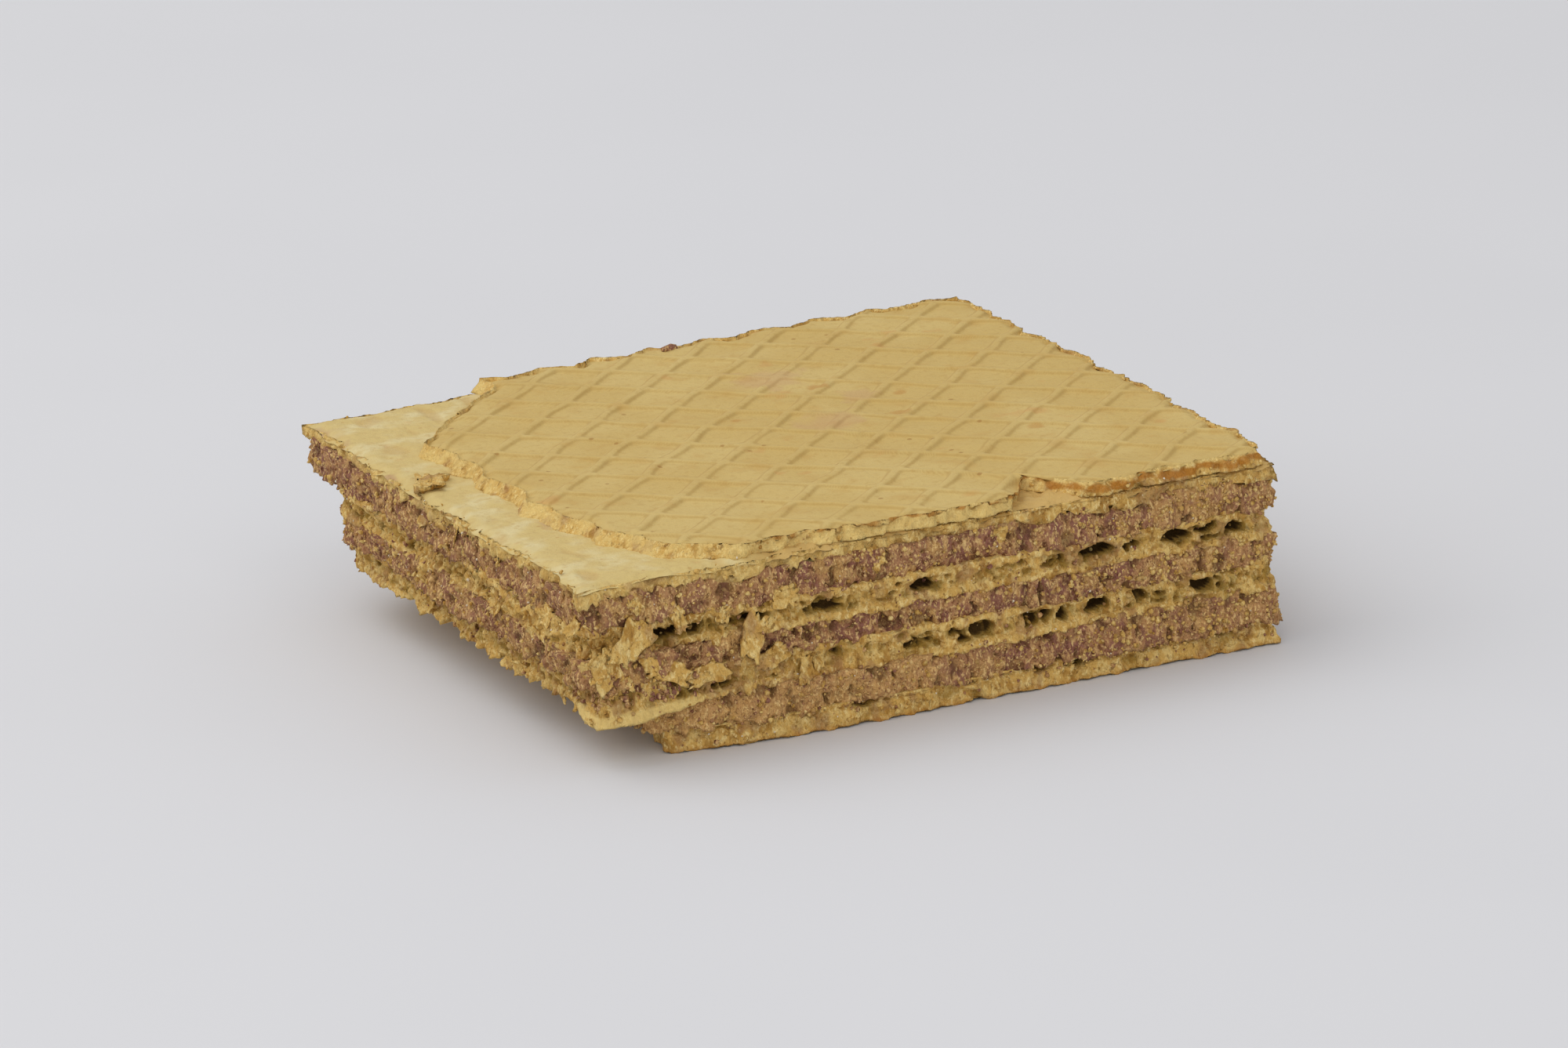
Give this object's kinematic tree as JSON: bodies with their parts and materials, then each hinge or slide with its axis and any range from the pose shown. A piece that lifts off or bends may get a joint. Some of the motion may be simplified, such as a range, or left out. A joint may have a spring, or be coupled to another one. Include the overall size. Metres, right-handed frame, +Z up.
{
  "type": "cream filled wafer",
  "caption": "Square cream filled wafer biscuit lying flat: crisp waffle patterned sheets with cocoa cream between, edges broken and crumbly.",
  "frame": {"origin": "centre of the bounding box at the underside, where the biscuit rests", "axes": "+X along the front edge to the right, +Y from the front edge to the back edge, +Z up through the layers"},
  "size_m": [0.0462, 0.0454, 0.0122],
  "materials": {
    "wafer_sheet": "dry baked wafer, matt and slightly porous",
    "cocoa_cream": "grainy cocoa cream, matt with a faint fat sheen"
  },
  "bodies": {
    "root": {"wafer_bottom": "wafer_sheet", "cream_lower": "cocoa_cream", "wafer_lower": "wafer_sheet", "cream_middle": "cocoa_cream", "wafer_upper": "wafer_sheet", "cream_upper": "cocoa_cream", "wafer_top": "wafer_sheet"}
  },
  "joints": []
}
